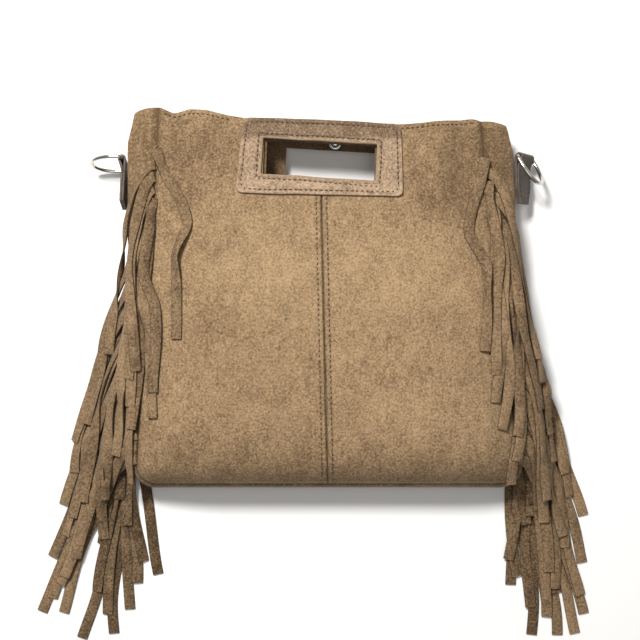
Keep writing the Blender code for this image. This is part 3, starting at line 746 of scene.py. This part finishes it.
def all_stitches():
    """The rows beside the middle seam, the mouth's topstitching on each side, and each patch's rows."""
    height, edge = np.linspace(0.209, 0.006, 160), np.full(60, HEIGHT - 0.0031)
    runs = ((-0.1145, -0.063), (0.0585, 0.1145))
    mouth = [surface_row(front_point, np.linspace(start, end, 60), edge) for start, end in runs]
    seam = [surface_row(front_point, np.full(160, s), height) for s in (-MIDDLE_ROW, MIDDLE_ROW)]
    stitches("stitches_front", mouth + seam + [patch_row(outside, False) for outside in (True, False)])
    stitches("stitches_back", [patch_row(outside, True) for outside in (True, False)])


# -------- fringe

CELL, MAP_LOW, MAP_SIZE = 0.001, np.array([-0.260, -0.280]), (520, 480)


def cells(points):
    """The map cell that each point falls in."""
    index = np.floor((points[..., :2] - MAP_LOW) / CELL).astype(int)
    return np.clip(index[..., 0], 0, MAP_SIZE[0] - 1), np.clip(index[..., 1], 0, MAP_SIZE[1] - 1)


def height_map(surfaces):
    """The highest surface over each cell of the floor: the points' heights, spread to the cells beside
    them so that no gap is left, with the floor itself at 0."""
    top = np.zeros(MAP_SIZE)
    for points in surfaces:
        flat = points.reshape(-1, 3)
        np.maximum.at(top, cells(flat), flat[:, 2])
    for axis in (0, 1):
        top = np.maximum(top, np.maximum(np.roll(top, 1, axis), np.roll(top, -1, axis)))
    return top


def bezier(a, b, c, d, t):
    """A cubic curve through a and d that leaves towards b and arrives from c."""
    t = t[:, None]
    return a * (1 - t) ** 3 + 3 * b * t * (1 - t) ** 2 + 3 * c * t**2 * (1 - t) + d * t**3


def strip_plan(end, seed, reach):
    """A strip's course seen from above, as far out from its root and far down, at an even spacing and
    its real length. It leaves the seam straight out, turns down in an arc and wanders to its end. One
    with little or no reach hangs from the seam instead, and may swing inwards and back."""
    rng = np.random.default_rng(seed)
    t = np.linspace(0, 1, 400)
    if reach < HANGING_REACH:
        down = 0.175 * t
        out = reach * smoothstep(down / 0.058) ** 0.8 + (end - reach) * smoothstep((down - 0.050) / 0.030)
        line = stacked(out, down - 0.004 * hump(down, 0.006, 0.012))
    else:
        bend = np.array([reach, 0.001]), np.array([reach * 0.55 + end * 0.50, 0.060])
        line = bezier(np.array([0, 0]), *bend, np.array([end * 1.10, 0.165]), t)
    phase, length, size = rng.uniform(0, 6.3, 2), rng.uniform(0.08, 0.15, 2), rng.uniform(0.0004, 0.0016, 2)
    turns = line[:, 1:] * 2 * math.pi / length
    drift = (size * (np.sin(turns + phase) - np.sin(phase))).sum(axis=-1)
    line[:, 0] += drift * smoothstep(t / 0.35)
    line[:, 0] += rng.normal(0, 0.006) * np.clip((t - 0.6) / 0.4, 0, 1) ** 2
    at = np.concatenate([[0], np.cumsum(np.linalg.norm(np.diff(line, axis=0), axis=1))])
    places = np.linspace(0, STRIP_LONG * rng.uniform(0.955, 1.0), 76)
    return stacked(*[np.interp(places, at, line[:, k]) for k in (0, 1)]), places


def relaxed(support, root, rounds):
    """A limp strip over what holds it up: the higher of the support and the mean of its neighbours."""
    z = support.copy()
    z[0] = root
    for _ in range(rounds):
        z[1:-1] = np.maximum(support[1:-1], (z[:-2] + z[2:]) / 2)
        z[-1] = max(support[-1], z[-2] - 0.0004)
    return z


def lay_strip(plan, places, top, root, roll, rounds):
    """Lays one strip on the height map, and raises the map by it. The strip's two edges each find
    their own support, so that it leans on whatever lies beneath. It returns its line and width."""
    forward = unit(np.gradient(plan, axis=0))
    side = stacked(-forward[:, 1], forward[:, 0])
    half = STRIP_WIDE / 2 * np.cos(roll)
    found = [top[cells(plan + side * (half * offset)[:, None])] for offset in (-1.0, -0.5, 0.0, 0.5, 1.0)]
    lift = STRIP_THICK / 2 + 0.0002 + 0.5 * np.abs(np.sin(roll)) * STRIP_WIDE
    low = relaxed(np.maximum(found[0], found[1]) + lift, root, rounds)
    high = relaxed(np.maximum(found[3], found[4]) + lift, root, rounds)
    short = np.clip(found[2] + lift - (low + high) / 2, 0, None)
    low, high = low + short, high + short
    kernel = np.hanning(7) / np.hanning(7).sum()
    low = np.convolve(np.pad(low, 3, mode="edge"), kernel, mode="valid")
    high = np.convolve(np.pad(high, 3, mode="edge"), kernel, mode="valid")
    middle = (low + high) / 2
    lean = np.arctan2(high - low, 2 * half) + roll
    for offset in np.linspace(-1, 1, 9):
        reach = STRIP_WIDE / 2 * np.cos(lean) * offset
        z = middle + STRIP_WIDE / 2 * np.sin(lean) * offset + STRIP_THICK / 2
        np.maximum.at(top, cells(plan + side * reach[:, None]), z)
    line = np.concatenate([plan, middle[:, None]], axis=-1)
    width = np.concatenate([side * np.cos(lean)[:, None], np.sin(lean)[:, None]], axis=-1)
    return line, width


def strip_profile():
    """A strip's section: a flat oblong with softened corners, very slightly cupped."""
    w, t = STRIP_WIDE / 2, STRIP_THICK / 2
    return np.array([
        (-w, -t * 0.5), (-w + 0.0003, -t), (0, -t + 0.0001), (w - 0.0003, -t), (w, -t * 0.5),
        (w, t * 0.5), (w - 0.0003, t), (0, t + 0.0001), (-w + 0.0003, t), (-w, t * 0.5),
    ])


def ribbon(line, width):
    """The strip's profile carried along its line: points, quads with both ends capped, and its edge mask."""
    profile = strip_profile()
    forward = unit(np.gradient(line, axis=0))
    width = unit(width - forward * (width * forward).sum(-1, keepdims=True))
    up = np.cross(forward, width)
    points = swept(line, width, up, profile)
    rows, count = points.shape[:2]
    quads = grid_quads(rows, count, wrap_columns=True)
    caps = np.array([(k, k + 1, count - 2 - k, count - 1 - k) for k in range(count // 2 - 1)])
    ends = np.concatenate([caps[:, ::-1], caps + (rows - 1) * count])
    side_mask = np.isin(np.arange(count), (0, 4, 5, 9)).astype(float)
    return points.reshape(-1, 3), np.concatenate([quads, ends]), np.tile(side_mask, rows)


def fringe(name, sign, back, ends, reaches, top, seed):
    """One band on a side seam, cut into strips that have been laid one by one, from the lowest root up,
    each on those below it. Points are painted darker the further they lie below the height around them:
    painted shade in the gaps between the stacked strips."""
    middles = FRINGE_TOP - STRIP_PITCH * (np.arange(STRIPS) + 0.5)
    side = sign * half_width(middles)
    z_of = back_z if back else front_z
    seam = placed(side, middles, z_of, raised=False)
    seam[:, 2] += 0.0004 if back else -0.0002
    rng = np.random.default_rng(seed)
    points, faces, cut, tone = [], [], [], []
    count = 0
    for strip in range(STRIPS - 1, -1, -1):
        plan, places = strip_plan(ends[strip] / 1000, seed * 100 + strip, reaches[strip] / 1000)
        plan = seam[strip, :2] + plan * np.array([sign, -1.0])
        swing = rng.uniform(0.35, 0.75) * hump(places, 0.012, 0.016)
        twist = rng.choice([0.0, 0.25, 0.7]) * hump(places, rng.uniform(0.06, 0.11), 0.03)
        if back:
            swing, twist = swing * 0.15, twist * 0.3
        roll = sign * (swing + twist * rng.choice([-1, 1]))
        line, width = lay_strip(plan, places, top, seam[strip, 2], roll, 26 if back else 60)
        made, quads, mask = ribbon(line, width)
        points.append(made)
        faces.append(quads + count)
        cut.append(mask)
        # Each strip's own random tone; the back bands, which lie beneath the body and the front bands, are
        # darker still: painted shade.
        tone.append(np.full(len(made), rng.uniform(-0.16, 0.14) - (0.30 if back else 0)))
        count += len(made)
    band_height = np.linspace(FRINGE_TOP + 0.001, middles[-1] - 0.004, 120)
    band_line = placed(sign * half_width(band_height), band_height, z_of, raised=False)
    band_line[:, 2] += 0.0002 if back else -0.0006
    band_line[:, 0] += sign * 0.001
    across = np.tile([[0.35, 0.0, 0.0]], (120, 1))
    made, quads, mask = ribbon(band_line, across)
    core = np.repeat(band_line, 10, axis=0)
    points.append((made - core) * 0.45 + core)
    faces.append(quads + count)
    cut.append(mask * 0)
    tone.append(np.full(len(made), -0.2))
    points = np.concatenate(points)
    # Painted shade: the deeper a point lies below the smoothed height around it, the darker its tone.
    around = sum(np.roll(top, k, axis=0) for k in range(-3, 4)) / 7
    around = sum(np.roll(around, k, axis=1) for k in range(-3, 4)) / 7
    sunk = around[cells(points[:, :2])] - points[:, 2]
    tone = np.concatenate(tone) - 0.75 * smoothstep((sunk + 0.0004) / 0.0026) + 0.04
    values = {"tone": tone, "cut": np.concatenate(cut) * 0.8}
    piece = add_piece(name, points, np.concatenate(faces), FRINGE, replaces=[name],
                      values=values, sharp=70)


FRONT_LEFT_ENDS = (-17, 38, 14, 16, -3, 15, -2, 8, 48, 20, 58, 12, 62, 34, 52, 68,
                   58, 44, 64, 52, 72, 60, 66, 76, 62, 84)
FRONT_LEFT_REACH = (-27, 18, 12, 10, 5, 14, 4, 8, 22, 12, 24, 9, 24, 16, 20, 24,
                    22, 18, 24, 20, 24, 22, 20, 22, 20, 22)
FRONT_RIGHT_ENDS = (-2, 36, 3, 42, 6, 30, 12, 20, 46, 16, 44, 14, 52, 34, 56, 28,
                    60, 40, 52, 32, 64, 44, 54, 30, 58, 44)
FRONT_RIGHT_REACH = (-14, 16, 5, 18, 8, 16, 10, 12, 22, 12, 20, 10, 24, 18, 24, 16,
                     24, 18, 22, 18, 24, 20, 22, 18, 22, 18)
BACK_LEFT_ENDS = (18, 26, 12, 30, 20, 34, 16, 28, 38, 22, 32, 14, 40, 26, 34, 18,
                  42, 30, 12, -8, 4, 36, 14, 30, 22, 40)
BACK_RIGHT_ENDS = (16, 22, 10, 28, 20, 30, 14, 26, 34, 20, 30, 12, 36, 22, 30, 16,
                   38, 26, 10, -4, 6, 32, 14, 26, 20, 34)


def fringes(body_surfaces):
    """All four bands: the back ones on the floor, then the front ones over the body and the back ones."""
    floor = height_map([])
    fringe("fringe_back_left", -1, True, BACK_LEFT_ENDS, [12] * STRIPS, floor, 81)
    fringe("fringe_back_right", 1, True, BACK_RIGHT_ENDS, [12] * STRIPS, floor, 82)
    top = np.maximum(floor, height_map(body_surfaces))
    fringe("fringe_front_left", -1, False, FRONT_LEFT_ENDS, FRONT_LEFT_REACH, top, 83)
    fringe("fringe_front_right", 1, False, FRONT_RIGHT_ENDS, FRONT_RIGHT_REACH, top, 84)


# -------- tabs, rings and snap


def frame_from(origin, bar, down):
    """An origin and three axes: along the ring's bar, down the tab, and off the gusset."""
    bar = unit(np.array(bar, float))
    down = np.array(down, float)
    down = unit(down - (down @ bar) * bar)
    return np.array(origin), np.stack([bar, down, np.cross(bar, down)])


def tab(side, place, narrowed):
    """A strap folded over the bar: one strip carried down behind, round the wire and down in front."""
    origin, axes = place
    angle = np.linspace(-math.pi / 2, math.pi / 2 - 0.3, 26)
    loop = stacked(-TAB_LOOP * np.cos(angle), TAB_LOOP * np.sin(angle))
    behind = stacked(np.linspace(TAB_LENGTH, 0.0004, 40), np.full(40, -TAB_LOOP))
    t = np.linspace(0, 1, 14)[1:]
    flat_from = np.array([0.0055, TAB_FRONT]), np.array([0.009, TAB_FRONT])
    dip = bezier(loop[-1], loop[-1] + [0.002, -0.0004], *flat_from, t)
    before = stacked(np.linspace(0.0098, TAB_LENGTH, 36), np.full(36, TAB_FRONT))
    path = np.concatenate([behind, loop, dip, before])
    line = np.concatenate([np.zeros((len(path), 1)), path], axis=-1)
    forward = unit(np.gradient(line, axis=0))
    across = np.tile([[1.0, 0.0, 0.0]], (len(path), 1))
    up = np.cross(forward, across)
    half_thick, soft = 0.00072, 0.0003
    taper = 1 - narrowed * smoothstep((path[:, 0] - 0.020) / 0.014)
    profile = []
    for sx, sz in ((-1, -1), (1, -1), (1, 1), (-1, 1)):
        corner = [(sx, sz * 0.5, 0), (sx, sz, -sx * soft)]
        profile += corner if sx * sz > 0 else corner[::-1]
    profile = np.array(profile)
    x = (profile[None, :, 0] * TAB_WIDTH / 2 * taper[:, None]) + profile[None, :, 2]
    z = np.broadcast_to(profile[None, :, 1] * half_thick, x.shape)
    points = line[:, None] + across[:, None] * x[..., None] + up[:, None] * z[..., None]
    points = origin + points @ axes
    rows, count = points.shape[:2]
    quads = grid_quads(rows, count, wrap_columns=True)
    caps = np.array([(0, 1, 6, 7), (1, 2, 5, 6), (2, 3, 4, 5)])
    quads = np.concatenate([quads, caps[:, ::-1], caps + (rows - 1) * count])
    name = "strap_tab_" + side
    add_piece(name, points.reshape(-1, 3), quads, TAB, replaces=[name], sharp=45)
    rows = []
    for sx in (-1, 1):
        run = np.linspace(0.0085, TAB_LENGTH - 0.002, 40)
        width = TAB_WIDTH / 2 * (1 - narrowed * smoothstep((run - 0.020) / 0.014)) - 0.0022
        local = stacked(sx * width, run, np.full(40, TAB_FRONT + half_thick))
        rows.append((origin + local @ axes, np.tile(axes[2], (40, 1))))
    stitches("stitches_tab_" + side, rows, length=0.0024, radius=0.00028)


def ring(side, place, swing, body):
    """A wire bent to a D and soldered shut: a round section carried round the closed outline."""
    origin, axes = place
    half, corner, shoulder, depth = 0.0118, 0.0022, 0.0060, 0.0232
    bar = stacked(np.linspace(0, half - corner, 14), np.zeros(14))
    angle = np.linspace(0, math.pi / 2, 9)[1:]
    bend = stacked(half - corner + corner * np.sin(angle), -corner + corner * np.cos(angle))
    straight = stacked(np.full(5, half), np.linspace(-corner, -shoulder, 6)[1:])
    angle = np.linspace(0, math.pi / 2, 30)[1:]
    bow = stacked(half * np.cos(angle), -shoulder - (depth - shoulder) * np.sin(angle))
    one = np.concatenate([bar, bend, straight, bow])
    other = one[-2:0:-1] * [-1, 1]
    line = np.concatenate([one, other])
    ahead = unit(np.roll(line, -1, axis=0) - np.roll(line, 1, axis=0))
    out = stacked(ahead[:, 1], -ahead[:, 0])
    turn = np.linspace(0, 2 * math.pi, 21)[:-1]
    radius = 0.0015
    flat = line[:, None] + out[:, None] * (radius * np.cos(turn))[None, :, None]
    z = np.broadcast_to(radius * np.sin(turn)[None, :], flat.shape[:2])
    c, s = math.cos(swing), math.sin(swing)
    y = flat[..., 1] * c - z * s
    up = flat[..., 1] * s + z * c
    points = origin + stacked(flat[..., 0], y, up) @ axes
    quads = grid_quads(*flat.shape[:2], wrap_rows=True, wrap_columns=True)
    name = "d_ring_" + side
    add_piece(name, points.reshape(-1, 3), quads, NICKEL, body=body, replaces=[name])


def lathe(name, profile, back):
    """A turned piece of the snap: its profile of radius and height spun round the snap's own axis."""
    turn = np.linspace(0, 2 * math.pi, 49)[:-1]
    profile = np.array(profile)
    x = profile[:, :1] * np.cos(turn) + (-SNAP_AT[0] if back else SNAP_AT[0])
    y = profile[:, :1] * np.sin(turn) + SNAP_AT[1]
    z = -SNAP_DEPTH - np.broadcast_to(profile[:, 1:], x.shape)
    points = in_frame(stacked(x, y, z), back)
    quads = grid_quads(len(profile), 48, wrap_columns=True)
    last = (len(profile) - 1) * 48
    caps = np.array([(0, k, k + 1, k + 2) for k in range(1, 46, 2)])
    caps = np.concatenate([caps, (caps + last)[:, ::-1]])
    add_piece(name, points.reshape(-1, 3), np.concatenate([quads, caps]), NICKEL,
              replaces=[name], sharp=40)


# -------- the bag

front_panels()
back_panel()
facing("front_facing", False)
facing("back_facing", True)
boxing_surface = boxing()
patch("front_handle_patch", False)
patch("back_handle_patch", True)
all_stitches()

body_side, body_height = np.meshgrid(np.linspace(-1, 1, 420), np.linspace(0.001, HEIGHT, 400))
body_side = body_side * half_width(body_height)
fringes([front_point(body_side, body_height), boxing_surface])

LEFT = frame_from((-0.1502, 0.146, 0.0155), (0, -0.34, -0.94), (0, -0.94, 0.34))
RIGHT = frame_from((0.1485, 0.150, 0.019), (-0.6, 0, 0.8), (0, -1, 0))
tab("left", LEFT, 0.12)
tab("right", RIGHT, 0.30)
ring("left", LEFT, math.radians(-90), "left_ring")
ring("right", RIGHT, math.radians(-149), "right_ring")

dome = [(0.0033 * math.sin(a), 0.0010 + 0.0022 * math.cos(a)) for a in np.linspace(0.08, 1.5, 14)]
lathe("snap_stud", dome + [(0.0046, 0.0010), (0.0048, 0.0008), (0.0048, 0.0)], True)
cup = [(0.0004, 0.0014), (0.0035, 0.0014), (0.0037, 0.0027), (0.0040, 0.0028), (0.0043, 0.0026)]
lathe("snap_socket", cup + [(0.0044, 0.0010), (0.0047, 0.0010), (0.0048, 0.0)], False)
for kept, finish, slot in (
    ("lining_front", COTTON, "lining_cloth"), ("lining_back", COTTON, "lining_cloth"),
    ("snap_washer_front", NICKEL, "nickel"), ("snap_washer_back", NICKEL, "nickel"),
):
    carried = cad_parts[kept]
    carried.data.materials.clear()
    carried.data.materials.append(finish)


# -------- floor, light and camera


def floor_finish():
    """Smooth pale paint with the faintest unevenness."""
    made, tree, shader = new_finish("floor")
    where = object_place(tree)
    cloud = noise(tree, where, 2.0, 3.0)
    colour = mixed(tree, cloud, (0.86, 0.855, 0.845, 1), (0.90, 0.895, 0.885, 1))
    fill(tree, shader, {"Base Color": colour, "Roughness": 0.6, "Specular IOR Level": 0.25})
    return made


def add_floor():
    """A flat square floor, wide enough to fill the view."""
    mesh = bpy.data.meshes.new("floor")
    corners = [(x, y, 0) for x, y in ((-4, -4), (4, -4), (4, 4), (-4, 4))]
    mesh.from_pydata(corners, [], [(0, 1, 2, 3)])
    mesh.materials.append(floor_finish())
    floor = bpy.data.objects.new("floor", mesh)
    bpy.context.scene.collection.objects.link(floor)


def add_light(name, place, target, size, power, colour=(1, 1, 1)):
    """A square soft light, aimed at its target."""
    light = bpy.data.lights.new(name, "AREA")
    light.size, light.energy, light.color = size, power, colour
    holder = bpy.data.objects.new(name, light)
    bpy.context.scene.collection.objects.link(holder)
    aim(holder, place, target)


def aim(holder, place, target):
    """Puts a light or a camera at a place, looking at its target."""
    holder.location = place
    holder.rotation_euler = (Vector(target) - Vector(place)).to_track_quat("-Z", "Y").to_euler()


add_floor()
add_light("key", (-0.42, 0.78, 1.30), (0, 0, 0.03), 0.32, 31, (1.0, 0.985, 0.96))
add_light("overhead", (0.1, -0.1, 1.9), (0, 0, 0), 1.2, 6)
world = bpy.data.worlds.new("studio")
world.use_nodes = True
fill(world.node_tree, world.node_tree.nodes["Background"], {"Color": (1.0, 0.99, 0.98, 1), "Strength": 0.24})
bpy.context.scene.world = world

camera = bpy.data.objects.new("camera", bpy.data.cameras.new("camera"))
bpy.context.scene.collection.objects.link(camera)
camera.data.lens = 70.4
tilt = math.radians(1.5)
TARGET, AWAY = (-0.0036, 0.029, 0.045), 0.9
aim(camera, (TARGET[0], TARGET[1] - AWAY * math.sin(tilt), TARGET[2] + AWAY * math.cos(tilt)), TARGET)
bpy.context.scene.camera = camera
bpy.context.scene.view_settings.view_transform = "Standard"
